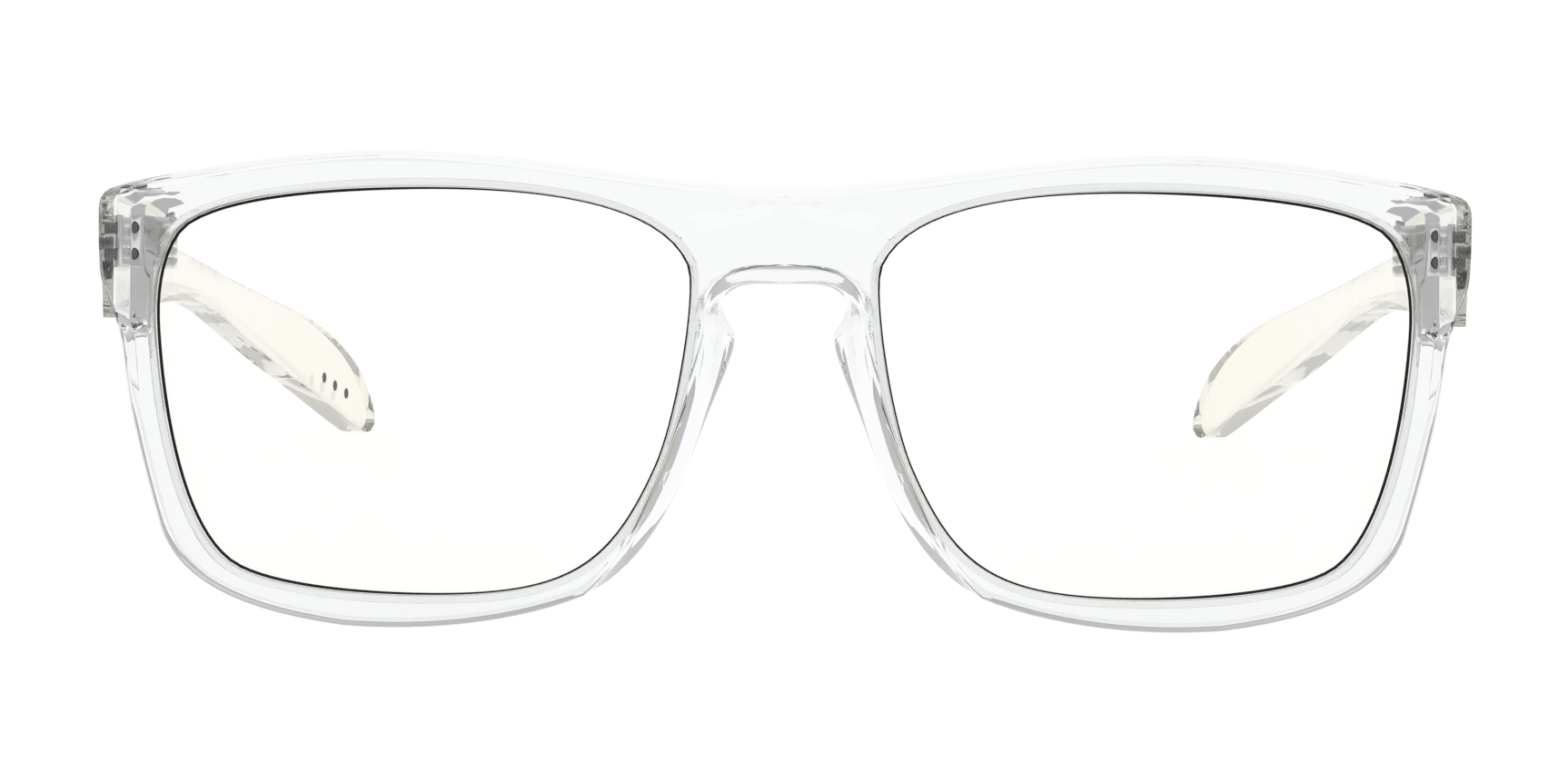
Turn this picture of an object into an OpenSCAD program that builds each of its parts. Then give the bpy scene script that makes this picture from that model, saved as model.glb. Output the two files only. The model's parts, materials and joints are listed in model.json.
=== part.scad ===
// Blue light glasses: a clear moulded front with two flat-tint lenses, two folding clear temples,
// and five-knuckle metal hinges held by ribbed anchor pins.
// Every piece is drawn in the wearing frame: X to the wearer's left, Y towards the ears, Z up, with the
// front upright and its middle at the origin. stand() then sets the glasses down on a table, resting on
// the rims and the temple tips, with the origin under the middle.

/* [Front] */
// Radius of the front's wrap, seen from above
wrap_r = 390; // [300:10:600]
// Thickness of the rims and the bridge
front_t = 4; // [3.6:0.1:5]
// Half the width across the end blocks
half_w = 73; // [72.6:0.1:73.4]
// Distance from the front's middle back to the faces that the temples meet
block_back = 13.5; // [13:0.1:14]
// Height of the end blocks' lower faces
block_low = 7.2; // [6:0.1:9]
// How far the slanted outer corner of an end block starts inside its side face
corner_in = 4.6; // [3:0.1:5]

/* [Lenses] */
// Lens thickness
lens_t = 2; // [1.8:0.1:2.2]
// Distance from the front face back to the lens
lens_in = 1; // [0.8:0.1:1.2]
// Width of the ground edge that sits in the rim's groove
edge_w = 0.8; // [0.6:0.1:0.9]

/* [Temples] */
// Temple thickness
temple_t = 3.4; // [3:0.1:3.6]
// Gap between a temple's front end and its end block
butt_gap = 0.15; // [0.1:0.05:0.3]
// Distance back to the end of the temple's straight run
straight_y = 72; // [60:1:80]
// Distance back to the temple's tip
tip_y = 145; // [140:1:150]
// Thickness of the dark inlays in one temple tip
dot_t = 0.4; // [0.3:0.1:0.6]
// Diameter of the inlays
dot_d = 1.5; // [1.2:0.1:1.8]

/* [Hinges] */
// Distance from the middle out to each hinge pin
hinge_x = 66.2; // [65.8:0.1:66.4]
// Height of the hinge's middle
hinge_z = 15.5; // [15:0.1:16]
// Outer diameter of the knuckles
knuckle_d = 2.4; // [2.2:0.1:2.6]
// Height of one knuckle
knuckle_h = 1.06; // [0.9:0.02:1.2]
// Gap between knuckles
knuckle_gap = 0.06; // [0.04:0.01:0.1]
// Thickness of both hinge leaves
leaf_t = 0.9; // [0.8:0.1:1]
// Diameter of the screw that is the hinge pin
screw_d = 1.2; // [1:0.1:1.4]
// Diameter of the anchor pins over their ribs
pin_d = 1.3; // [1.1:0.1:1.4]

/* [Hidden] */
$fn = 48;
curve_steps = 7;
fit_gap = 0.02;
groove_gap = 0.05;

// Hinge pin axis, behind the end block's back face
hinge_y = block_back + 1 + knuckle_d / 2;
hinge_h = 5 * knuckle_h + 4 * knuckle_gap;
hinge_low = hinge_z - hinge_h / 2;
knuckle_pitch = knuckle_h + knuckle_gap;
temple_in = half_w - temple_t;
temple_y = block_back + butt_gap;

// Inner wall of the end block, where the front leaf lies in line with the temple's own leaf
block_in = temple_in - 0.1;
front_leaf_y = 11.3;
leaf_split = 0.3;
temple_leaf_l = 7.4;
arm_t = 0.6;
temple_arm_t = 1.3;

// Half widths and heights that the outlines share
brow = 24.7;
rim_low = -24.6;

// The lean that rests both the rims and the temple tips on the table, from their lowest points
rest_x = 38;
rest_y = sag(rest_x) + front_t;
rim_rest = -24.83;
tip_rest_y = 142;
tip_rest = -6.31;
lean = atan((tip_rest - rim_rest) / (tip_rest_y - rest_y));
stand_z = rest_y * sin(lean) - rim_rest * cos(lean);
stand_y = 70.2;

// Outlines are closed runs of cubic curves: each corner point is followed by the two handles of its curve.
// Lens opening of one rim, X and Z
opening_path = [
    [37.5, 21], [50.5, 21], [59, 19.7],
    [62.7, 17.3], [64.6, 16], [66.3, 12],
    [65.8, 5.8], [65.3, -2], [63.2, -14.4],
    [57.8, -18.2], [55, -20.2], [47.3, -21.4],
    [37.8, -21.4], [22.3, -21.4], [17.9, -18.6],
    [13.2, -8], [10.9, -2.9], [9, 10],
    [9.8, 12.8], [12.4, 19.5], [25.5, 21]];

// Half of the front's outline, from the top of the bridge round to its underside, X and Z
front_path = [
    [0, 21.1], [16, 21.1], [24, brow],
    [42, brow], [50, brow], [60, 23.2],
    [half_w - 2, 21.1], [half_w - 0.8, 20.9], [half_w, 20.2],
    [half_w, 19], [half_w, 17], [half_w, 15],
    [half_w - 0.2, 12.6], [half_w - 0.6, 9.5], [70.3, 8],
    [69.7, 4.5], [69, 0], [67.3, -7.5],
    [65.2, -14.2], [63.4, -20], [57, -23.2],
    [45.7, rim_low], [38, -25.2], [28, -24.4],
    [20.5, -21.2], [15.8, -17], [12.6, -8.7],
    [10.9, -3.5], [9.4, 1], [8.4, 5],
    [8.4, 7.5], [8.4, 10.8], [6, 12.6]];
front_end = [2.5, 12.6];

// Half of the nose opening, from the rim's lowest inner corner up to the bridge, X and Z
nose_path = [
    [20.5, -21.2], [14.5, -18.8], [12.4, -15.3],
    [10.9, -11], [9, -5.6], [7.2, -0.8],
    [5.6, 3.3], [4.9, 5.1], [4.9, 5.6],
    [5.6, 7], [6.6, 9], [4.5, 11]];
nose_end = [2.5, 11];

// Temple seen from the side, Y and Z
temple_path = [
    [temple_y, 20.9], [19, 19.4], [26, 16.9],
    [36, 16.2], [62, 14.6], [98, 12.9],
    [117, 10], [128, 8.2], [139, 4.6],
    [tip_y - 2.6, -0.3], [tip_y + 1.7, -4.4], [tip_y - 0.8, -7.1],
    [140.5, -6.1], [134, -4.3], [128, -2.1],
    [114, 1.2], [96, 4.8], [78, 9.2],
    [56, 10.1], [40, 10.2], [26, 9.6]];
temple_end = [temple_y, 7.4];

// Temple's outer face seen from above, X and Y: straight, then bending in towards the head
outer_path = [
    [half_w, straight_y], [half_w, 95], [70, 122]];
outer_end = [62.5, tip_y + 2];

// Nose flank: its lean, its innermost point, its side view (depth and height),
// and its section (distance out from the nose, and depth)
flank_lean = 20.5;
flank_top = [4.9, 5.6];
flank_side = [[0, 13], [5.6, 13], [8.6, 8], [8.6, -5], [7.4, -13], [4, -21], [0, -22]];
flank_section = [[3.9, 0.4], [0.8, 4.1], [0, 5.6], [0.5, 7.2], [2.2, 8.6], [4.6, 8.4], [8, 6], [8, 0.4]];

// End block seen from above, X and Y: the rim's back slopes into a wall in line with the temple
slope_from = [64.8, 9.2];
block_section = [[slope_from.x, 0], slope_from, [block_in, block_back], [half_w + 1, block_back], [half_w + 1, 0]];

// Underside of the bridge, slanting down towards the nose: depth and height
bridge_section = [[0, 12.6], [5.6, 11.1], [5.6, 15.5], [front_t, 17], [front_t - 1, 13]];

dot_places = [[125.3, 1.5], [129.7, 0.4], [134.1, -0.7]];
pin_z = [hinge_z - 1.4, hinge_z + 1.4];
front_pin_y = 12.5;
temple_pin_y = [18.4, 21.2];
pin_l = 2.2;
rib_w = 0.3;
rib_in = 0.15;

// Depth of the wrapped front face at distance x from the middle
function sag(x) = wrap_r - sqrt(wrap_r * wrap_r - x * x);

// One point of a cubic curve with corners a, d and handles b, c
function cubic(a, b, c, d, t) =
    pow(1 - t, 3) * a + 3 * pow(1 - t, 2) * t * b + 3 * (1 - t) * t * t * c + pow(t, 3) * d;

// Points of an open run of curves that ends at last
function open_curve(path, last, steps = curve_steps) = [
    for (i = [0:3:len(path) - 1]) let (next = i + 3 < len(path) ? path[i + 3] : last)
        for (k = [0:steps - 1]) cubic(path[i], path[i + 1], path[i + 2], next, k / steps),
    last];

// Points of a closed run of curves
function closed_curve(path, steps = curve_steps) = [
    for (i = [0:3:len(path) - 1])
        for (k = [0:steps - 1]) cubic(path[i], path[i + 1], path[i + 2], path[(i + 3) % len(path)], k / steps)];

// A clockwise closed outline moved outwards by d, each point along its own normal
function grown(points, d) = [
    for (i = [0:len(points) - 1])
        let (n = len(points), run = points[(i + 1) % n] - points[(i + n - 1) % n])
            points[i] + d * [-run.y, run.x] / norm(run)];

// The same outline on the other side of the nose, so that both halves join into one loop
function both_sides(half) = concat(half, [for (i = [len(half) - 1:-1:1]) [-half[i].x, half[i].y]]);

// A prism of an X and Z outline, from depth y0 to depth y1
module prism(points, y0, y1)
    translate([0, y1, 0]) rotate([90, 0, 0]) linear_extrude(y1 - y0) polygon(points);

// The wrapped layer between two depths behind the front face
module layer(d0, d1)
    translate([0, wrap_r, -40])
        difference() {
            cylinder(r = wrap_r - d0, h = 80, $fn = 96);
            translate([0, 0, -1]) cylinder(r = wrap_r - d1, h = 82, $fn = 96);
        }

// Draws its child on both sides of the nose
module sides() {
    children();
    mirror([1, 0, 0]) children();
}

module stand()
    translate([0, -stand_y, stand_z]) rotate([-lean, 0, 0]) children();

// Draws its child on the wearer's left, at +X, or mirrored on the right
module on_side(left)
    stand() mirror([left ? 0 : 1, 0, 0]) children();

module rims()
    intersection() {
        prism(both_sides(open_curve(front_path, front_end)), -1, 20);
        layer(0, front_t);
    }

// Outer end of the front, thickened back to the face that the temple meets
module end_block()
    intersection() {
        prism(open_curve(front_path, front_end), -1, block_back);
        translate([0, 0, block_low]) linear_extrude(20) polygon(block_section);
        translate([0, wrap_r, 0]) cylinder(r = wrap_r, h = 40, $fn = 96);
    }

// The slanted outer corner cut from an end block
module block_corner()
    translate([half_w - corner_in, sag(half_w - corner_in), -30])
        rotate([0, 0, 45]) translate([-1, -20, 0]) cube([20, 20, 60]);

// Flank that rests beside the nose
module nose_flank()
    intersection() {
        translate([flank_top.x, 0, flank_top.y]) rotate([0, -flank_lean, 0])
            translate([0, 0, -32]) linear_extrude(40) polygon(flank_section);
        prism(concat(open_curve(nose_path, nose_end), [[2.5, 20], [30, 20], [30, -21.2]]), -1, 20);
        rotate([90, 0, 90]) linear_extrude(40) polygon(flank_side);
    }

module bridge_underside()
    intersection() {
        translate([9, 0, 0]) rotate([0, -90, 0]) linear_extrude(18)
            polygon([for (p = bridge_section) [p.y, p.x]]);
        translate([0, wrap_r, 0]) cylinder(r = wrap_r, h = 40, $fn = 96);
    }

module lens_opening()
    prism(closed_curve(opening_path), -5, 30);

module lens_groove()
    intersection() {
        prism(grown(closed_curve(opening_path), edge_w + groove_gap), -5, 30);
        layer(lens_in - groove_gap, lens_in + lens_t + groove_gap);
    }

// Anchor pin with raised ribs, from its head at the origin along +Z
module anchor_pin(length)
    union() {
        cylinder(d = pin_d - 2 * rib_in, h = length);
        for (i = [0:floor(length / (2 * rib_w)) - 1])
            translate([0, 0, rib_w * (2 * i + 1)]) cylinder(d = pin_d, h = rib_w);
    }

module pin_hole(length)
    cylinder(d = pin_d + 2 * fit_gap, h = length);

module front_pin_places()
    for (z = pin_z)
        translate([block_in - leaf_t, front_pin_y, z]) rotate([0, 90, 0]) children();

module temple_pin_places()
    for (y = temple_pin_y)
        translate([temple_in - leaf_t, y, hinge_z]) rotate([0, 90, 0]) children();

module frame_front()
    color("whitesmoke", 0.5) stand()
        difference() {
            union() {
                rims();
                sides() end_block();
                sides() nose_flank();
                bridge_underside();
            }
            sides() block_corner();
            sides() lens_opening();
            sides() lens_groove();
            sides() leaf_pocket();
            sides() front_pin_places() pin_hole(leaf_t + pin_l + fit_gap);
        }

module lens(left)
    color("ivory", 0.3) on_side(left)
        intersection() {
            prism(grown(closed_curve(opening_path), edge_w), -5, 30);
            layer(lens_in, lens_in + lens_t);
        }

module temple(left)
    color("whitesmoke", 0.5) on_side(left)
        difference() {
            intersection() {
                rotate([90, 0, 90]) linear_extrude(half_w + 1)
                    polygon(open_curve(temple_path, temple_end));
                translate([0, 0, -20]) linear_extrude(60)
                    polygon(concat([[temple_in, temple_y], [half_w, temple_y]],
                        open_curve(outer_path, outer_end),
                        [for (p = reversed(open_curve(outer_path, outer_end))) p - temple_t * bend(p)]));
            }
            temple_pin_places() pin_hole(leaf_t + pin_l + fit_gap);
            if (!left) dot_holes();
        }

// Direction across the temple's thickness, turning as the temple bends in
function bend(p) = let (turn = 22 * pow(max(0, p.y - straight_y) / (tip_y - straight_y), 1.5))
    [cos(turn), sin(turn)];

function reversed(list) = [for (i = [len(list) - 1:-1:0]) list[i]];

// X of the temple's inner face at distance y back
function inner_x(y) = let (
    face = [for (p = open_curve(outer_path, outer_end, 24)) p - temple_t * bend(p)])
    lookup(y, [for (p = face) [p.y, p.x]]);

function inner_turn(y) = atan((inner_x(y - 1) - inner_x(y + 1)) / 2);

module dot_places_on_face()
    for (place = dot_places)
        translate([inner_x(place.x), place.x, place.y])
            rotate([0, 0, inner_turn(place.x)]) rotate([0, 90, 0]) children();

module dot_holes()
    dot_places_on_face() translate([0, 0, -1]) cylinder(d = dot_d + 2 * fit_gap, h = dot_t + 1 + fit_gap);

module temple_dots()
    color("dimgray") on_side(false) dot_places_on_face() cylinder(d = dot_d, h = dot_t);

// Knuckles of one leaf, numbered from the bottom, each with an arm out to its leaf
module knuckles(numbers, arm_y, arm_t)
    for (i = numbers)
        translate([hinge_x, hinge_y, hinge_low + i * knuckle_pitch]) {
            cylinder(d = knuckle_d, h = knuckle_h);
            translate([0, arm_y, 0]) cube([block_in - leaf_t / 2 - hinge_x, arm_t, knuckle_h]);
        }

module screw_hole()
    translate([hinge_x, hinge_y, hinge_low - 1]) cylinder(d = screw_d + 2 * fit_gap, h = hinge_h + 2);

// Pocket in the end block's sloped inner side, open at the back, that the front leaf lies in
module leaf_pocket()
    translate([block_in - 20, front_leaf_y - fit_gap, hinge_low - fit_gap])
        cube([20, 20, hinge_h + 2 * fit_gap]);

module front_hinge_leaf(left)
    color("silver") on_side(left)
        difference() {
            union() {
                translate([block_in - leaf_t, front_leaf_y, hinge_low])
                    cube([leaf_t, hinge_y - arm_t - front_leaf_y, hinge_h]);
                knuckles([0, 2, 4], -knuckle_d / 2, arm_t);
            }
            screw_hole();
            front_pin_places() translate([0, 0, -1]) pin_hole(leaf_t + 2);
        }

module temple_hinge_leaf(left)
    color("silver") on_side(left)
        difference() {
            union() {
                translate([temple_in - leaf_t, hinge_y - leaf_split, hinge_low])
                    cube([leaf_t, temple_leaf_l, hinge_h]);
                knuckles([1, 3], knuckle_d / 2 - temple_arm_t, temple_arm_t);
            }
            screw_hole();
            temple_pin_places() translate([0, 0, -1]) pin_hole(leaf_t + 2);
        }

module front_hinge_pins(left)
    color("dimgray") on_side(left) front_pin_places() anchor_pin(leaf_t + pin_l);

module temple_hinge_pins(left)
    color("dimgray") on_side(left) temple_pin_places() anchor_pin(leaf_t + pin_l);

module hinge_screw(left)
    color("gray") on_side(left)
        translate([hinge_x, hinge_y, hinge_low])
            difference() {
                union() {
                    cylinder(d = screw_d, h = hinge_h);
                    translate([0, 0, hinge_h]) cylinder(d = 2, h = 0.5);
                }
                translate([-1.5, -0.15, hinge_h + 0.2]) cube([3, 0.3, 1]);
            }

frame_front();
lens(true);  // lens_left
lens(false);  // lens_right
temple(true);  // temple_left
temple(false);  // temple_right
front_hinge_leaf(true);  // front_hinge_leaf_left
front_hinge_leaf(false);  // front_hinge_leaf_right
front_hinge_pins(true);  // front_hinge_pins_left
front_hinge_pins(false);  // front_hinge_pins_right
temple_hinge_leaf(true);  // temple_hinge_leaf_left
temple_hinge_leaf(false);  // temple_hinge_leaf_right
temple_hinge_pins(true);  // temple_hinge_pins_left
temple_hinge_pins(false);  // temple_hinge_pins_right
hinge_screw(true);  // hinge_screw_left
hinge_screw(false);  // hinge_screw_right
temple_dots();  // temple_dots_right
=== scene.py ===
# %% [markdown]
# Blue light glasses: a clear moulded front, two flat-tint lenses with ground edges, two clear folding
# temples and small metal hinges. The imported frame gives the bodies, the hinge axis and the metal pieces.
# The clear pieces are modelled again here with rounded edges, because light that passes through clear
# plastic draws its lines from those edges.

# %% The frame
import bpy
import json
import math
import numpy as np
from mathutils import Matrix, Vector


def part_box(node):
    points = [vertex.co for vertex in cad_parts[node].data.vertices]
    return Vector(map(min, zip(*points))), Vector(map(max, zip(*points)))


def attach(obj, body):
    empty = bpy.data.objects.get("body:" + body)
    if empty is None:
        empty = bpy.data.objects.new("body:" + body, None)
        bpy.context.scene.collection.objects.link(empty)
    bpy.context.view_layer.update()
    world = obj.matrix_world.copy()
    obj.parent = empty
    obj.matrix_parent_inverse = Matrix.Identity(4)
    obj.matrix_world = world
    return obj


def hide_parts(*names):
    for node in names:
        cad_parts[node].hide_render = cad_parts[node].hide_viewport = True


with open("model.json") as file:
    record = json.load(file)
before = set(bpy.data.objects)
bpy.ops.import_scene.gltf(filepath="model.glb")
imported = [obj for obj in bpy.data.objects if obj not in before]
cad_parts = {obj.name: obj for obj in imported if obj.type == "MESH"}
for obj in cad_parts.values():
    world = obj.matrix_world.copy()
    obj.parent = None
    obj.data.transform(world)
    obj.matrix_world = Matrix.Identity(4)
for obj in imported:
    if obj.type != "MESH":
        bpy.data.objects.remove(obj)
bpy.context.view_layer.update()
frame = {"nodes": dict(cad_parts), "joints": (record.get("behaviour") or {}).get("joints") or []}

# %% [markdown]
# The glasses stand on a table, leaning a little on their temple tips. They are easier to model upright, as
# they are worn, in millimetres: X to the wearer's left, Y towards the ears, Z up, with the middle of the
# front at the origin. The hinge axis in the frame says how far they lean and where they stand, so one
# matrix takes a finished piece from the worn place to the table.

# %% From the worn place to the table
MM = 0.001
HINGE = Vector((66.2, 15.7, 15.5))
left_fold = next(joint for joint in frame["joints"] if joint["name"] == "left_temple_fold")
axis = Vector(left_fold["axis"])
lean = math.atan2(axis.y, axis.z)
turn = Matrix.Rotation(-lean, 4, "X")
stand = Matrix.Translation(Vector(left_fold["pos_m"]) - turn @ (HINGE * MM)) @ turn @ Matrix.Scale(MM, 4)
print("lean in degrees:", round(math.degrees(lean), 2))


def on_table(x, y, z):
    return stand @ Vector((x, y, z))


# %% [markdown]
# The camera stands in front of the glasses and looks straight at the front, level with its middle, so it
# looks down at the table by the same angle as the glasses lean. Its distance sets how strongly the temples
# draw together behind the lenses.

# %% Camera
CAMERA_AWAY = 341
VIEW_WIDTH = 161.2
CAMERA_ROLL = math.radians(0.4)
SENSOR_W = 36
camera_data = bpy.data.cameras.new("camera")
camera = bpy.data.objects.new("camera", camera_data)
bpy.context.scene.collection.objects.link(camera)
bpy.context.scene.camera = camera
camera_data.sensor_width = SENSOR_W
camera_data.lens = SENSOR_W * CAMERA_AWAY / VIEW_WIDTH
camera_data.clip_start = 0.01
camera.location = on_table(0, -CAMERA_AWAY, 0)
look = on_table(0, 0, 0) - camera.location
camera.rotation_mode = "QUATERNION"
roll = Matrix.Rotation(CAMERA_ROLL, 4, "Z").to_quaternion()
camera.rotation_quaternion = look.to_track_quat("-Z", "Y") @ roll
print("camera at", [round(v, 3) for v in camera.location])

# %% [markdown]
# A designer draws spectacles as flat outlines first. Each outline is a run of cubic curves: a corner point,
# then the two handles of the curve that leaves it. Few points are enough for a smooth line, and the same
# points shape the lens, its groove and the rim.

# %% Curves and outlines
WRAP_R = 390
HALF_W = 73
FRONT_T = 4
BLOCK_BACK = 13.5
LENS_MIDDLE = (38, 0)

OPENING = [
    (37.5, 21), (50.5, 21), (59, 19.7),
    (62.7, 17.3), (64.6, 16), (66.3, 12),
    (65.8, 5.8), (65.3, -2), (63.2, -14.4),
    (57.8, -18.2), (55, -20.2), (47.3, -21.4),
    (37.8, -21.4), (22.3, -21.4), (17.9, -18.6),
    (13.2, -8), (10.9, -2.9), (9, 10),
    (9.8, 12.8), (12.4, 19.5), (25.5, 21)]

RIM = [
    (0, 21.1), (16, 21.1), (24, 24.7),
    (42, 24.7), (50, 24.7), (60, 23.2),
    (HALF_W - 2, 21.1), (HALF_W - 0.8, 20.9), (HALF_W, 20.2),
    (HALF_W, 19), (HALF_W, 17), (HALF_W, 15),
    (HALF_W - 0.2, 12.6), (HALF_W - 0.6, 9.5), (70.3, 8),
    (69.7, 4.5), (69, 0), (67.3, -7.5),
    (65.2, -14.2), (63.4, -20), (57, -23.2),
    (45.7, -24.58), (38, -25.15), (28, -24.35),
    (20.5, -21.2), (15.8, -17), (12.6, -8.7),
    (10.9, -3.5), (9.4, 1), (8.4, 5),
    (8.4, 7.5), (8.4, 10.8), (6, 12.6)]
RIM_END = (2.5, 12.6)

FLANK = [
    (20.5, -21.2), (13.8, -18.5), (10.6, -10),
    (8.2, -3.5), (6.9, 0), (4.8, 4),
    (5, 6), (7.4, 9.2), (6.5, 11)]
FLANK_END = (2.5, 11)


def sag(x):
    return WRAP_R - math.sqrt(WRAP_R ** 2 - x * x)


def mix(a, b, t):
    return tuple(p + (q - p) * t for p, q in zip(a, b))


def ease(low, high, value):
    t = min(1, max(0, (value - low) / (high - low)))
    return t * t * (3 - 2 * t)


def cubic(a, b, c, d, t):
    s = 1 - t
    weights = (s ** 3, 3 * s * s * t, 3 * s * t * t, t ** 3)
    return tuple(sum(w * p[i] for w, p in zip(weights, (a, b, c, d))) for i in (0, 1))


def curve_points(path, steps, last=None):
    """Points along a run of curves, with its own number of steps for each; a closed run has no last point."""
    corners = path[0::3] + [last or path[0]]
    points = []
    for i, count in enumerate(steps):
        curve = corners[i], path[3 * i + 1], path[3 * i + 2], corners[i + 1]
        points += [cubic(*curve, k / count) for k in range(count)]
    return points


DENSE_STEPS = 60
dense = np.array(curve_points(OPENING, [DENSE_STEPS] * 7)) - LENS_MIDDLE
dense_angle = np.degrees(np.arctan2(dense[:, 1], dense[:, 0]))
dense_radius = np.hypot(dense[:, 0], dense[:, 1])


def opening_at(angle, out=0):
    """The point of the lens opening at an angle in degrees about its middle, moved out by a distance."""
    order = np.argsort(dense_angle)
    wrapped = (angle + 180) % 360 - 180
    radius = np.interp(wrapped, dense_angle[order], dense_radius[order], period=360) + out
    across = radius * math.cos(math.radians(angle))
    up = radius * math.sin(math.radians(angle))
    return (LENS_MIDDLE[0] + across, LENS_MIDDLE[1] + up)


print("lens opening, X:", [round(opening_at(a)[0], 1) for a in (0, 180)])
print("lens opening, Z:", [round(opening_at(a)[1], 1) for a in (90, -90)])

# %% [markdown]
# A rim, a temple and a lens are all skins over a row of cross-sections. A flat grid has the right faces for
# that: each row of its points is laid on one section, its two sides are merged into a tube, and the tube's
# ends are joined or filled.

# %% The skin helper
SAME_POINT = 1e-4
SMOOTH_ANGLE = math.radians(35)
FLAT_FACE_WEIGHT = 80


def deselect_all():
    if bpy.context.object and bpy.context.object.mode != "OBJECT":
        bpy.ops.object.mode_set(mode="OBJECT")
    bpy.ops.object.select_all(action="DESELECT")


def skin(name, sections, ring=False, tube=True):
    """A grid laid over sections of equal length, in worn millimetres. A ring joins its last section to
    the first."""
    rows = sections + sections[:1] if ring else sections
    columns = len(sections[0]) + (1 if tube else 0)
    deselect_all()
    bpy.ops.mesh.primitive_grid_add(x_subdivisions=columns - 1, y_subdivisions=len(rows) - 1, size=1)
    piece = bpy.context.object
    piece.name = name
    spots = [row[i % len(row)] for row in rows for i in range(columns)]
    for vertex, spot in zip(piece.data.vertices, spots):
        vertex.co = spot
    bpy.ops.object.mode_set(mode="EDIT")
    bpy.ops.mesh.select_mode(type="VERT")
    bpy.ops.mesh.select_all(action="SELECT")
    bpy.ops.mesh.remove_doubles(threshold=SAME_POINT)
    bpy.ops.mesh.select_all(action="DESELECT")
    bpy.ops.mesh.select_non_manifold(extend=False)
    bpy.ops.mesh.fill_holes(sides=0)
    bpy.ops.mesh.select_all(action="SELECT")
    bpy.ops.mesh.normals_make_consistent(inside=False)
    bpy.ops.object.mode_set(mode="OBJECT")
    print(name, len(piece.data.vertices), "points")
    return piece


def modify(piece, kind, **settings):
    deselect_all()
    piece.select_set(True)
    bpy.context.view_layer.objects.active = piece
    modifier = piece.modifiers.new(kind.title(), kind)
    for key, value in settings.items():
        setattr(modifier, key, value)
    bpy.ops.object.modifier_apply(modifier=modifier.name)


def set_down(piece):
    """Takes a worn piece to the table, with its place in its mesh, and shades its round parts smooth."""
    deselect_all()
    piece.select_set(True)
    bpy.context.view_layer.objects.active = piece
    piece.matrix_world = stand
    bpy.ops.object.transform_apply(location=True, rotation=True, scale=True)
    bpy.ops.object.shade_smooth_by_angle(angle=SMOOTH_ANGLE)
    modify(piece, "WEIGHTED_NORMAL", keep_sharp=True, weight=FLAT_FACE_WEIGHT)


def mirrored(piece, name):
    """A copy of a worn piece on the wearer's other side."""
    deselect_all()
    piece.select_set(True)
    bpy.context.view_layer.objects.active = piece
    bpy.ops.object.duplicate()
    twin = bpy.context.object
    twin.name = name
    for vertex in twin.data.vertices:
        vertex.co.x = -vertex.co.x
    bpy.ops.object.mode_set(mode="EDIT")
    bpy.ops.mesh.select_all(action="SELECT")
    bpy.ops.mesh.normals_make_consistent(inside=False)
    bpy.ops.object.mode_set(mode="OBJECT")
    return twin


# %% [markdown]
# The front is one clear moulding. A half of it is a rim: a tube bent into a ring round the lens, whose
# section changes on the way. Over the brow it is a plain bar, at the temple it thickens into the end block
# with a slanted outer corner, and beside the nose it swells into the flank that rests on the skin. Each
# section runs over the front face, round the outside, over the back and through the lens groove.

# %% Sections of the front
CORNER_X = HALF_W - 4.6
CORNER_SLOPE = 0.95
BLOCK_END = BLOCK_BACK - 0.02
BLOCK_SLOPE = ((69.5, BLOCK_END), (67.5, 11.2), (64.9, 9.3))
BLOCK_GROWS_X = (67.2, 70.2)
BLOCK_GROWS_Z = (6, 8.2)
GROOVE_OUT = 0.85
GROOVE_FROM = 0.95
GROOVE_TO = 3.05
FLANK_BACK = 8.5
FLANK_GROWS_Z = (-21.2, -11)
FLANK_FADES_Z = (5, 11)
BRIDGE_BACK = 5.6
BRIDGE_TOP = 21.1
BRIDGE_UNDER = 12.6
BRIDGE_RIDGE = 11
BRIDGE_LIP = 1.6
UNDER_SECTIONS = 4
MIDDLE_SECTIONS = 6
FLANK_STEPS = (14, 10, 10)
RIM_STEPS = (18, 16, 6, 6, 8, 10, 14, 14) + FLANK_STEPS
OPENING_ANGLES = (148, 80.8, 32.6, 28.5, 20, 8.1, -27.6, -72.6, -129.5, -172.6, -194.2, -202)
MIDDLE_ANGLES = (-202, -204.5, -212)


def front_face(x):
    """Depth of the front surface: the wrap, then the slanted outer corner."""
    return sag(x) + max(0, x - CORNER_X) * CORNER_SLOPE


def inward_at(outline, i):
    """The direction in from the rim's outline, square to it; straight down on the middle line."""
    if i == 0:
        return Vector((0, 0, -1))
    after = outline[i + 1] if i + 1 < len(outline) else RIM_END
    run = Vector((after[0] - outline[i - 1][0], 0, after[1] - outline[i - 1][1])).normalized()
    return Vector((run.z, 0, -run.x))


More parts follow.
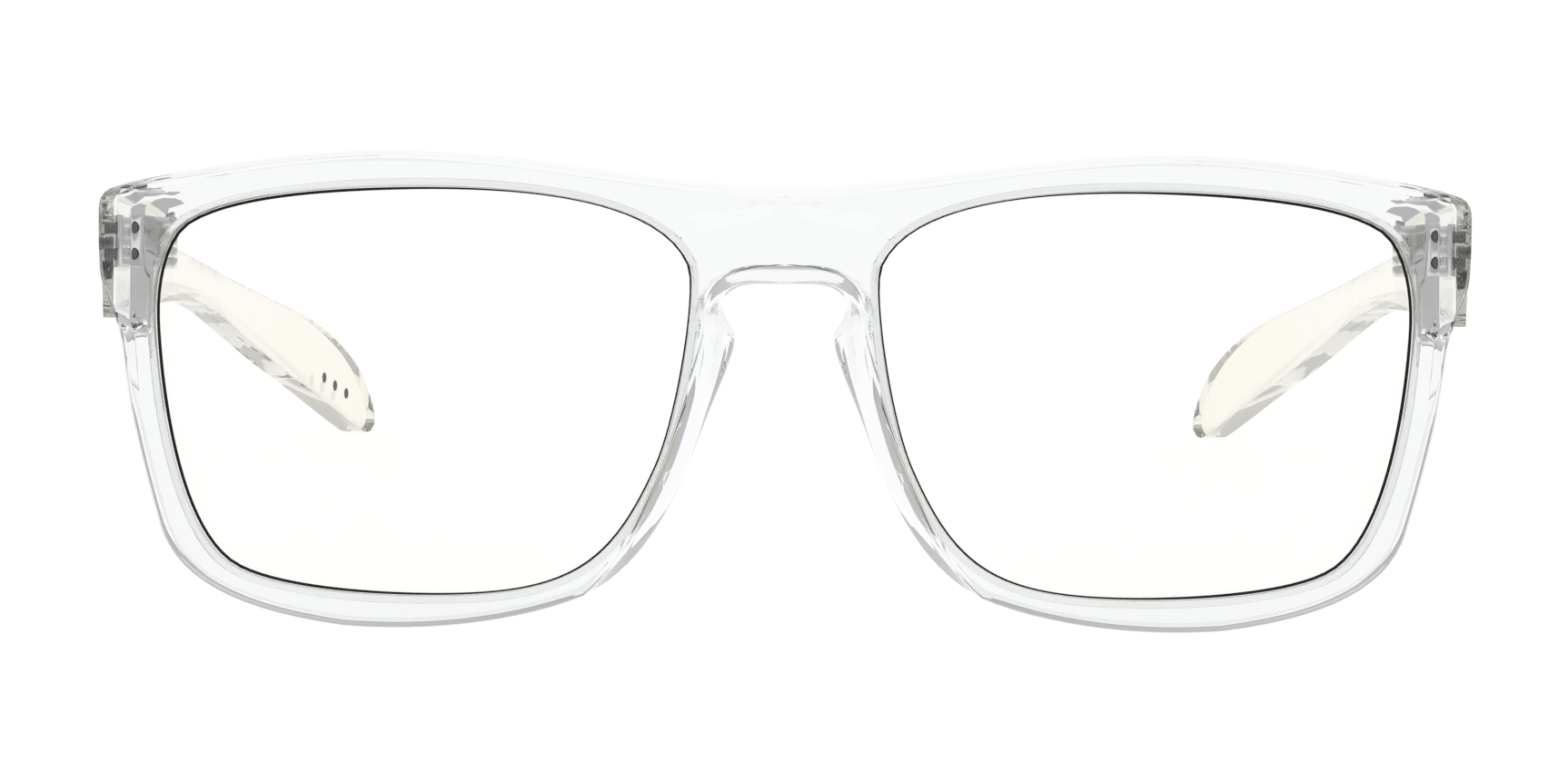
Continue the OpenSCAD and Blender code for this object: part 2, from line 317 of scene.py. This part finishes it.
def rim_stations():
    """For each section: outline point, innermost point of the flank or None, angle of the opening, and
    direction in. The last ones run along the bridge's underside and up its middle."""
    flank = curve_points(FLANK, FLANK_STEPS, FLANK_END)
    outline = curve_points(RIM, RIM_STEPS, RIM_END)
    angles = []
    for i, count in enumerate(RIM_STEPS):
        start, end = OPENING_ANGLES[i:i + 2]
        angles += [start + (end - start) * k / count for k in range(count)]
    flanks = [None] * (len(outline) - len(flank)) + flank
    stations = [(outline[i], flanks[i], angles[i], inward_at(outline, i)) for i in range(len(outline))]
    for k in range(UNDER_SECTIONS):
        t = k / (UNDER_SECTIONS - 1)
        under = mix(RIM_END, (0, BRIDGE_UNDER), t)
        ridge = mix(FLANK_END, (0, BRIDGE_RIDGE), t)
        angle = MIDDLE_ANGLES[0] + (MIDDLE_ANGLES[1] - MIDDLE_ANGLES[0]) * t
        stations.append((under, ridge, angle, Vector((0, 0, 1))))
    for k in range(1, MIDDLE_SECTIONS):
        t = k / MIDDLE_SECTIONS
        height = BRIDGE_UNDER + (BRIDGE_TOP - BRIDGE_UNDER) * t
        angle = MIDDLE_ANGLES[1] + (MIDDLE_ANGLES[2] - MIDDLE_ANGLES[1]) * t
        stations.append(((0, height), (0, height - BRIDGE_LIP * (1 - t)), angle, None))
    return stations


print(len(rim_stations()), "sections round each rim")


# %% [markdown]
# Each section is sixteen points: four over the front face, three down the outside, five over the back and
# four round the lens groove. Where the section crosses the slanted corner of an end block, one point
# follows the crease, so that it stays a straight line. A moulding never has knife edges, so the corners
# are then rounded: a little at the front, more at the back and along the ridge of the nose flank.

# %% One section of the front
def layer_y(x, depth):
    """How far back a layer under the wrapped front face lies."""
    return WRAP_R - math.sqrt((WRAP_R - depth) ** 2 - x * x)


def at_depth(point, y):
    return (point[0], y, point[1])


def block_amount(point):
    """1 on an end block, 0 on the plain rim."""
    return ease(*BLOCK_GROWS_X, point[0]) * ease(*BLOCK_GROWS_Z, point[1])


def back_y(point):
    plain = layer_y(point[0], FRONT_T)
    return plain + (BLOCK_END - plain) * block_amount(point)


def flank_depth(height):
    """How deep the nose flank reaches back: growing from its V at the bottom, less under the bridge."""
    growing = FRONT_T + (FLANK_BACK - FRONT_T) * ease(*FLANK_GROWS_Z, height)
    return growing + (BRIDGE_BACK - FLANK_BACK) * ease(*FLANK_FADES_Z, height)


ROUND_STEPS = 4
CUTS = (0.25, 0, 0.35, 0.45, 0, 0.9, 0, 0.9, 0.5, 0.4, 0.4, 0.25, 0, 0, 0, 0)
FRONT_EDGE = 3
BACK_EDGE = 7
NEXT_TO_CUT = 0.45
NEXT_TO_SHARP = 0.9
MOST_OF_WIDTH = 0.4
CREASE_SHARE = 0.55
FLANK_OUTSIDE = ((0.5, 2.4, 0), (1, 4, 1.2), (0.86, 4, 3))
BLOCK_OUTSIDE = (0.3, 0.45, 0.6)
PLAIN_BACK = (0.3, 0.5, 0.75)


def rounded(points, inward):
    """The section with each corner that has a cut replaced by a short curve. On the outline's two edges the
    curve starts square to the outline; on the middle plane the section stays sharp."""
    result = []
    width = (Vector(points[0]) - Vector(points[FRONT_EDGE])).length
    for i, cut in enumerate(CUTS):
        corner = Vector(points[i])
        if not cut:
            result.append(corner)
            continue
        ends = []
        for k in (i - 1, (i + 1) % len(CUTS)):
            way = Vector(points[k]) - corner
            limit = NEXT_TO_CUT if CUTS[k] else NEXT_TO_SHARP
            ends.append(corner + way * min(limit, cut / max(way.length, 0.001)))
        if i in (FRONT_EDGE, BACK_EDGE):
            ends[i == BACK_EDGE] = corner + (inward or Vector()) * min(cut, MOST_OF_WIDTH * width)
        for k in range(ROUND_STEPS + 1):
            t = k / ROUND_STEPS
            curve = ends[0] * (1 - t) ** 2 + corner * 2 * t * (1 - t) + ends[1] * t * t
            result.append(curve if inward else corner)
    return result


def rim_section(outline, flank, angle, inward):
    opening = opening_at(angle)
    crossing = (CORNER_X - opening[0]) / (outline[0] - opening[0]) if outline[0] > CORNER_X else 1
    crease = min(CREASE_SHARE, crossing)
    front = [mix(opening, outline, t) for t in (0, crease / 2, crease, 1)]
    points = [at_depth(p, front_face(p[0])) for p in front]
    groove = [(0, GROOVE_TO), (GROOVE_OUT, GROOVE_TO), (GROOVE_OUT, GROOVE_FROM), (0, GROOVE_FROM)]
    groove_points = [at_depth(opening_at(angle, out), layer_y(opening[0], depth)) for out, depth in groove]
    if flank:
        deep = flank_depth(flank[1])
        swell = (deep - FRONT_T) / (FLANK_BACK - FRONT_T)
        for t, plain, more in FLANK_OUTSIDE:
            points.append(at_depth(mix(outline, flank, t), sag(outline[0]) + plain + more * swell))
        for t, depth in ((0.5, deep), (0.1, deep - 0.3 * swell)):
            points.append(at_depth(mix(outline, flank, t), sag(outline[0]) + depth))
        for t in (0.4, 0.75):
            depth = deep + (FRONT_T - deep) * ease(-0.1, 1, t)
            points.append(at_depth(mix(outline, opening, t), sag(outline[0]) + depth))
        points.append(at_depth(opening, layer_y(opening[0], FRONT_T)))
        return rounded(points + groove_points, inward)
    front_y = front_face(outline[0])
    for t in BLOCK_OUTSIDE:
        points.append(at_depth(outline, front_y + (back_y(outline) - front_y) * t))
    amount = block_amount(outline)
    points.append(at_depth(outline, back_y(outline)))
    for even, (x, y) in zip(PLAIN_BACK, BLOCK_SLOPE):
        share = (outline[0] - x) / max(0.1, outline[0] - opening[0])
        spot = mix(outline, opening, even + (min(0.95, max(0.05, share)) - even) * amount)
        rim_y = layer_y(spot[0], FRONT_T)
        points.append(at_depth(spot, rim_y + (max(y, rim_y) - rim_y) * amount))
    points.append(at_depth(opening, layer_y(opening[0], FRONT_T)))
    return rounded(points + groove_points, inward)


half = skin("frame_front_clear", [rim_section(*station) for station in rim_stations()], ring=True)

# %% [markdown]
# The faces that lie on the middle plane are inside the finished bridge, so they go before the mirror joins
# the two halves.

# %% The whole front
bpy.ops.object.mode_set(mode="EDIT")
bpy.ops.mesh.select_all(action="DESELECT")
bpy.ops.object.mode_set(mode="OBJECT")
for face in half.data.polygons:
    face.select = all(abs(half.data.vertices[i].co.x) < 1e-3 for i in face.vertices)
print("faces on the middle plane:", sum(face.select for face in half.data.polygons))
bpy.ops.object.mode_set(mode="EDIT")
bpy.ops.mesh.select_mode(type="FACE")
bpy.ops.mesh.delete(type="FACE")
bpy.ops.object.mode_set(mode="OBJECT")
modify(half, "MIRROR", use_axis=(True, False, False), use_clip=True, merge_threshold=0.001)
front = half
set_down(front)

# %% [markdown]
# A lens is a thin sheet cut to the rim's opening, with a tongue all round that snaps into the groove. Its
# two bevels are ground and left frosted, and their near-black colour is painted shade for the dark line
# that light bent at the edge draws round each lens. The front bevel is widest at the temple, where the wrap
# tilts the edge.

# %% Lenses
LENS_IN = 0.45
LENS_T = 2.55
FRONT_BEVEL_IN = 0.32
WIDER_AT_TEMPLE = 0.26
NARROWER_AT_NOSE = 0.14
BACK_BEVEL_IN = 0.15
SHOULDER_IN = 0.02
TONGUE_OUT = 0.8
TONGUE_DEPTHS = (1.6, 2.4)
SHOULDER_SLOPE = 0.1
DOME = 0.3
LENS_ANGLES = 144
RING_SHARES = (0, 0.3, 0.55, 0.75, 0.9, 0.97)


def lens_profile(angle):
    def ring(share, out, depth):
        edge = opening_at(angle, out)
        spot = mix(LENS_MIDDLE, edge, share)
        return at_depth(spot, layer_y(spot[0], depth) - DOME * (1 - share ** 2))
    outward = math.cos(math.radians(angle))
    bevel = FRONT_BEVEL_IN + outward * (WIDER_AT_TEMPLE if outward > 0 else NARROWER_AT_NOSE)
    front_side = [ring(share, -bevel, LENS_IN) for share in RING_SHARES + (1,)]
    back_side = [ring(share, -BACK_BEVEL_IN, LENS_IN + LENS_T) for share in RING_SHARES + (1,)]
    front_of_tongue, back_of_tongue = TONGUE_DEPTHS
    edge = [ring(1, -SHOULDER_IN, front_of_tongue - SHOULDER_SLOPE)]
    edge += [ring(1, TONGUE_OUT, depth) for depth in TONGUE_DEPTHS]
    edge += [ring(1, -SHOULDER_IN, back_of_tongue + SHOULDER_SLOPE)]
    return front_side + edge + back_side[::-1]


lens_left = skin("lens_left_flat_tint", [lens_profile(-360 * i / LENS_ANGLES) for i in range(LENS_ANGLES)],
                 ring=True, tube=False)
lens_right = mirrored(lens_left, "lens_right_flat_tint")

# %% [markdown]
# A temple is cut from clear plate: its side outline first, then it is bent in towards the ear behind its
# straight run. Its sections are nearly plain rectangles, and one bevel rounds the whole rim of the plate,
# round the paddle tip as well.

# %% Temples
TEMPLE_T = 3.4
TEMPLE_Y = BLOCK_BACK + 0.15
STRAIGHT_Y = 72
TIP_Y = 145
TEMPLE_TOP = [
    (TEMPLE_Y, 20.9), (19, 19.4), (26, 16.9),
    (36, 16.2), (62, 14.6), (98, 12.9),
    (117, 10), (128, 8.2), (139, 4.6)]
TIP = [(TIP_Y - 2.6, -0.3), (TIP_Y + 1.6, -4.4), (TIP_Y - 0.8, -7.05)]
TEMPLE_UNDER = [
    (140.5, -6.05), (134, -4.25), (128, -2.1),
    (114, 1.2), (96, 4.8), (78, 9.2),
    (56, 10.1), (40, 10.2), (26, 9.6)]
UNDER_END = (TEMPLE_Y, 7.4)
OUTER = [(HALF_W, STRAIGHT_Y), (HALF_W, 95), (70, 122)]
OUTER_END = (62.5, TIP_Y + 2)
PLATE_SECTIONS = 70
TIP_SECTIONS = 12
TIP_TURN = math.radians(22)
CROWN_OUTSIDE = 0.15
CROWN_INSIDE = 0.1
SKIN_GAP = 0.02
ROUNDING = 0.7


def bend(y):
    turned = TIP_TURN * (max(0, y - STRAIGHT_Y) / (TIP_Y - STRAIGHT_Y)) ** 1.5
    return math.cos(turned), math.sin(turned)


outer_run = np.array([(HALF_W, 0)] + curve_points(OUTER, [60], OUTER_END) + [OUTER_END])
inner_run = np.array([(x - TEMPLE_T * bend(y)[0], y - TEMPLE_T * bend(y)[1]) for x, y in outer_run])
top_run = np.array(curve_points(TEMPLE_TOP, [40] * 3, TIP[0]) + [TIP[0]])
under_run = np.array(curve_points(TEMPLE_UNDER, [40] * 3, UNDER_END) + [UNDER_END])[::-1]


def faces_x(y):
    """X of the temple's inner and outer faces."""
    return (np.interp(y, inner_run[:, 1], inner_run[:, 0]), np.interp(y, outer_run[:, 1], outer_run[:, 0]))


def plate_section(low, high):
    """Ten points round the plate, from the outer face's foot over its top and down the inner face."""
    shares = (0, 0.25, 0.5, 0.75, 1)
    outer = [(*mix(low, high, s), 1, (2 * s - 1) ** 2) for s in shares]
    inner = [(*mix(low, high, s), 0, (2 * s - 1) ** 2) for s in shares[::-1]]
    section = []
    for y, z, side, edge in outer + inner:
        inside, outside = faces_x(y)
        x = outside - CROWN_OUTSIDE * edge if side else inside + SKIN_GAP + CROWN_INSIDE * edge
        section.append((x, y, z))
    return section


plate = []
for i in range(PLATE_SECTIONS):
    s = i / PLATE_SECTIONS
    top_y = TEMPLE_Y + (TIP[0][0] - TEMPLE_Y) * s
    under_y = TEMPLE_Y + (TEMPLE_UNDER[0][0] - TEMPLE_Y) * s
    top_z = np.interp(top_y, top_run[:, 0], top_run[:, 1])
    under_z = np.interp(under_y, under_run[:, 0], under_run[:, 1])
    plate.append(plate_section((under_y, under_z), (top_y, top_z)))
for i in range(TIP_SECTIONS + 1):
    t = 0.5 * i / TIP_SECTIONS
    high = cubic(*TIP, TEMPLE_UNDER[0], t)
    low = cubic(*TIP, TEMPLE_UNDER[0], 1 - t)
    plate.append(plate_section(low, high))

temple_left = skin("temple_left_clear", plate)
modify(temple_left, "BEVEL", width=ROUNDING, segments=4, limit_method="ANGLE",
       angle_limit=math.radians(38))
temple_right = mirrored(temple_left, "temple_right_clear")

for piece in (lens_left, lens_right, temple_left, temple_right):
    set_down(piece)

# %% [markdown]
# Every clear piece rides on its body and stands for its CAD node, which is hidden.

# %% Bodies
for piece, body, node, slot in (
        (front, "front", "frame_front", "clear_front"),
        (lens_left, "front", "lens_left", "lens"),
        (lens_right, "front", "lens_right", "lens"),
        (temple_left, "left_arm", "temple_left", "clear_temple"),
        (temple_right, "right_arm", "temple_right", "clear_temple")):
    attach(piece, body)
    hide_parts(node)
    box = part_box(node)
    print(piece.name, "rides on", body, "in the place of", node, "from", [round(v, 4) for v in box[0]])

# %% [markdown]
# Clear plastic needs three things to look right: the bend of light that its refractive index gives, a
# surface that is not quite perfect, and a trace of colour. The long temples also lose a little light along
# their length, as clear plastic does, which greys the light that comes through them endways.

# %% Materials
def shader(name):
    material = bpy.data.materials.new(name)
    material.use_nodes = True
    return material, material.node_tree, material.node_tree.nodes["Principled BSDF"]


WAVE_SCALE = 160
WAVE_HEIGHT = 0.00005
GRAIN_HEIGHT = 0.00002
FROST_HEIGHT = 0.00003
ROUGHNESS_SPREAD = 0.07
TEMPLE_LOSS = 4.5
ACRYLIC_IOR = 1.49
LENS_IOR = 1.5


def noise(tree, scale, detail=2):
    place = tree.nodes.new("ShaderNodeTexCoord")
    pattern = tree.nodes.new("ShaderNodeTexNoise")
    pattern.inputs["Scale"].default_value = scale
    pattern.inputs["Detail"].default_value = detail
    tree.links.new(place.outputs["Object"], pattern.inputs["Vector"])
    return pattern


def bumpy(tree, skin_shader, height, strength, distance):
    bump = tree.nodes.new("ShaderNodeBump")
    bump.inputs["Strength"].default_value = strength
    bump.inputs["Distance"].default_value = distance
    tree.links.new(height, bump.inputs["Height"])
    tree.links.new(bump.outputs["Normal"], skin_shader.inputs["Normal"])


def clear_plastic(name, colour, ior, gloss, waves, loss=0):
    material, tree, skin_shader = shader(name)
    skin_shader.inputs["Base Color"].default_value = (*colour, 1)
    skin_shader.inputs["Transmission Weight"].default_value = 1
    skin_shader.inputs["IOR"].default_value = ior
    skin_shader.inputs["Roughness"].default_value = 0.01
    skin_shader.inputs["Specular IOR Level"].default_value = gloss
    bumpy(tree, skin_shader, noise(tree, WAVE_SCALE).outputs["Fac"], waves, WAVE_HEIGHT)
    if loss:
        inside = tree.nodes.new("ShaderNodeVolumeAbsorption")
        inside.inputs["Color"].default_value = (0, 0, 0, 1)
        inside.inputs["Density"].default_value = loss
        tree.links.new(inside.outputs["Volume"], tree.nodes["Material Output"].inputs["Volume"])
    return material


def metal(name, colour, roughness, grain):
    material, tree, skin_shader = shader(name)
    skin_shader.inputs["Base Color"].default_value = (*colour, 1)
    skin_shader.inputs["Metallic"].default_value = 1
    pattern = noise(tree, grain, 6)
    spread = tree.nodes.new("ShaderNodeMapRange")
    spread.inputs["To Min"].default_value = roughness - ROUGHNESS_SPREAD
    spread.inputs["To Max"].default_value = roughness + ROUGHNESS_SPREAD
    tree.links.new(pattern.outputs["Fac"], spread.inputs["Value"])
    tree.links.new(spread.outputs["Result"], skin_shader.inputs["Roughness"])
    bumpy(tree, skin_shader, pattern.outputs["Fac"], 0.2, GRAIN_HEIGHT)
    return material


print("surface waves in metres:", WAVE_HEIGHT, "and light lost per metre of temple:", TEMPLE_LOSS)

# %% [markdown]
# The front is almost neutral and the temples are a little warmer. A coated lens reflects very little. The
# ground bevels are matt, with near-black painted shade for their dark outline; the inlays are matt and dark,
# and the metals differ in how bright they are.

# %% The finishes
front_clear = clear_plastic("clear_front_moulding", (0.914, 0.926, 0.922), ACRYLIC_IOR, 0.5, 0.15)
temple_clear = clear_plastic("clear_temple_moulding", (0.955, 0.925, 0.85), ACRYLIC_IOR, 0.5, 0.15,
                             TEMPLE_LOSS)
lens_clear = clear_plastic("coated_lens", (1, 1, 0.98), LENS_IOR, 0.03, 0)
hinge_metal = metal("satin_hinge_metal", (0.85, 0.85, 0.84), 0.25, 900)
pin_metal = metal("dark_pin_metal", (0.2, 0.2, 0.21), 0.35, 900)
screw_metal = metal("screw_metal", (0.5, 0.5, 0.5), 0.28, 900)

# The ground bevel is frosted; its near-black colour is painted shade, standing in for the dark line that
# light bent at the lens edge draws.
ground_edge_painted_shade, tree, ground_painted_shade_skin = shader("ground_lens_edge_painted_shade")
ground_painted_shade_skin.inputs["Base Color"].default_value = (0.04, 0.04, 0.04, 1)
ground_painted_shade_skin.inputs["Roughness"].default_value = 0.7
ground_painted_shade_skin.inputs["Specular IOR Level"].default_value = 0
bumpy(tree, ground_painted_shade_skin, noise(tree, 4000, 4).outputs["Fac"], 0.5, FROST_HEIGHT)

inlay, tree, inlay_skin = shader("dark_inlay")
inlay_skin.inputs["Base Color"].default_value = (0.05, 0.05, 0.055, 1)
inlay_skin.inputs["Roughness"].default_value = 0.5
bumpy(tree, inlay_skin, noise(tree, 3000, 3).outputs["Fac"], 0.3, FROST_HEIGHT)


def wear(piece, *materials):
    piece.data.materials.clear()
    for material in materials:
        piece.data.materials.append(material)


wear(front, front_clear)
wear(temple_left, temple_clear)
wear(temple_right, temple_clear)
facing = (stand.to_3x3() @ Vector((0, 1, 0))).normalized()
BEVEL_SLANT = (0.1, 0.7)
for lens in (lens_left, lens_right):
    wear(lens, lens_clear, ground_edge_painted_shade)
    # The faces slanted like the bevels take the ground edge finish with its painted shade.
    for face in lens.data.polygons:
        face.material_index = int(BEVEL_SLANT[0] < abs(face.normal.dot(facing)) < BEVEL_SLANT[1])
    print(lens.name, "ground faces:", sum(face.material_index for face in lens.data.polygons))

# %% [markdown]
# The hinge is small, but its knuckles show through the lens. Stamped and turned parts have their edges
# broken by tumbling, so the leaves, the screws and the inlays are copies of their CAD nodes with bevelled
# corners. The ribbed anchor pins stay as they are and only get their dark finish.

# %% Metal pieces
def tumbled(node, name, body, material, width):
    cad = frame["nodes"][node]
    mesh = cad.data.copy()
    piece = bpy.data.objects.new(name, mesh)
    bpy.context.scene.collection.objects.link(piece)
    deselect_all()
    piece.select_set(True)
    bpy.context.view_layer.objects.active = piece
    bpy.ops.object.mode_set(mode="EDIT")
    bpy.ops.mesh.select_all(action="SELECT")
    bpy.ops.mesh.remove_doubles(threshold=1e-6)
    bpy.ops.mesh.dissolve_limited(angle_limit=math.radians(1))
    bpy.ops.object.mode_set(mode="OBJECT")
    modify(piece, "BEVEL", width=width, segments=2, limit_method="ANGLE", angle_limit=math.radians(40))
    bpy.ops.object.shade_smooth_by_angle(angle=SMOOTH_ANGLE)
    wear(piece, material)
    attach(piece, body)
    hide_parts(node)
    print(name, "rides on", body, "in the place of", node)


LEAF_EDGE = 0.00009
SCREW_EDGE = 0.00006
INLAY_EDGE = 0.0001
for side in ("left", "right"):
    tumbled("front_hinge_leaf_" + side, "front_leaf_" + side + "_steel", "front",
            hinge_metal, LEAF_EDGE)
    tumbled("temple_hinge_leaf_" + side, "temple_leaf_" + side + "_steel", side + "_arm",
            hinge_metal, LEAF_EDGE)
    tumbled("hinge_screw_" + side, "screw_" + side + "_steel", "front",
            screw_metal, SCREW_EDGE)
    wear(frame["nodes"]["front_hinge_pins_" + side], pin_metal)
    wear(frame["nodes"]["temple_hinge_pins_" + side], pin_metal)
tumbled("temple_dots_right", "temple_dots_right_inlay", "right_arm", inlay, INLAY_EDGE)

# %% [markdown]
# Clear things are lit by what stands round them, not by lamps on them. The table glows white, and the sky
# is grey near the horizon and white overhead. Grey flags at the sides give each edge its line, and show
# only in reflections and through the clear plastic. Light is turned back inside clear plastic many times,
# so it is followed for many bounces.

# %% Table, flags and sky
FLOOR_W = 12
FLOOR_DROP = 0.0002
TABLE_GLOW = 0.99
TABLE_GREY = 0.08
FLAG_GLOW = 0.5
FLAG_X = 0.33
FLAG_SIZE = (0.6, 1.6)
SKY = ((0, 0.45), (0.3, 0.6), (0.65, 1))
BOUNCES = 40


def stage_plane(name, size, location, rotation=(0, 0, 0)):
    deselect_all()
    bpy.ops.mesh.primitive_plane_add(size=1, location=location, rotation=rotation)
    plane = bpy.context.object
    plane.name = name
    plane.scale = (*size, 1)
    return plane


def glow(name, white, grey):
    material = bpy.data.materials.new(name)
    material.use_nodes = True
    tree = material.node_tree
    tree.nodes.clear()
    end = tree.nodes.new("ShaderNodeOutputMaterial")
    light = tree.nodes.new("ShaderNodeEmission")
    light.inputs["Strength"].default_value = white
    matt = tree.nodes.new("ShaderNodeBsdfDiffuse")
    matt.inputs["Color"].default_value = (grey, grey, grey, 1)
    both = tree.nodes.new("ShaderNodeAddShader")
    tree.links.new(light.outputs[0], both.inputs[0])
    tree.links.new(matt.outputs[0], both.inputs[1])
    tree.links.new(both.outputs[0], end.inputs["Surface"])
    return material


table = stage_plane("table", (FLOOR_W, FLOOR_W), (0, 0, -FLOOR_DROP))
wear(table, glow("white_table", TABLE_GLOW, TABLE_GREY))

flag_grey = glow("flag", FLAG_GLOW, 0)
for name, x in (("flag_left", FLAG_X), ("flag_right", -FLAG_X)):
    flag = stage_plane(name, FLAG_SIZE, (x, 0.2, 0.3), (0, math.radians(90), 0))
    wear(flag, flag_grey)
    flag.visible_camera = False
    flag.visible_shadow = False
    flag.visible_diffuse = False
    print(flag.name, "at X", x)

world = bpy.data.worlds.new("studio")
bpy.context.scene.world = world
world.use_nodes = True
tree = world.node_tree
sky = tree.nodes["Background"]
place = tree.nodes.new("ShaderNodeTexCoord")
parts = tree.nodes.new("ShaderNodeSeparateXYZ")
ramp = tree.nodes.new("ShaderNodeValToRGB")
tree.links.new(place.outputs["Generated"], parts.inputs["Vector"])
tree.links.new(parts.outputs["Z"], ramp.inputs["Fac"])
tree.links.new(ramp.outputs["Color"], sky.inputs["Color"])
stops = ramp.color_ramp.elements
stops.new(SKY[1][0])
for stop, (place_up, grey) in zip(stops, SKY):
    stop.position = place_up
    stop.color = (grey, grey, grey, 1)
bpy.context.scene.view_settings.view_transform = "Standard"
bpy.context.scene.cycles.max_bounces = BOUNCES
bpy.context.scene.cycles.transmission_bounces = BOUNCES
bpy.context.scene.cycles.glossy_bounces = BOUNCES
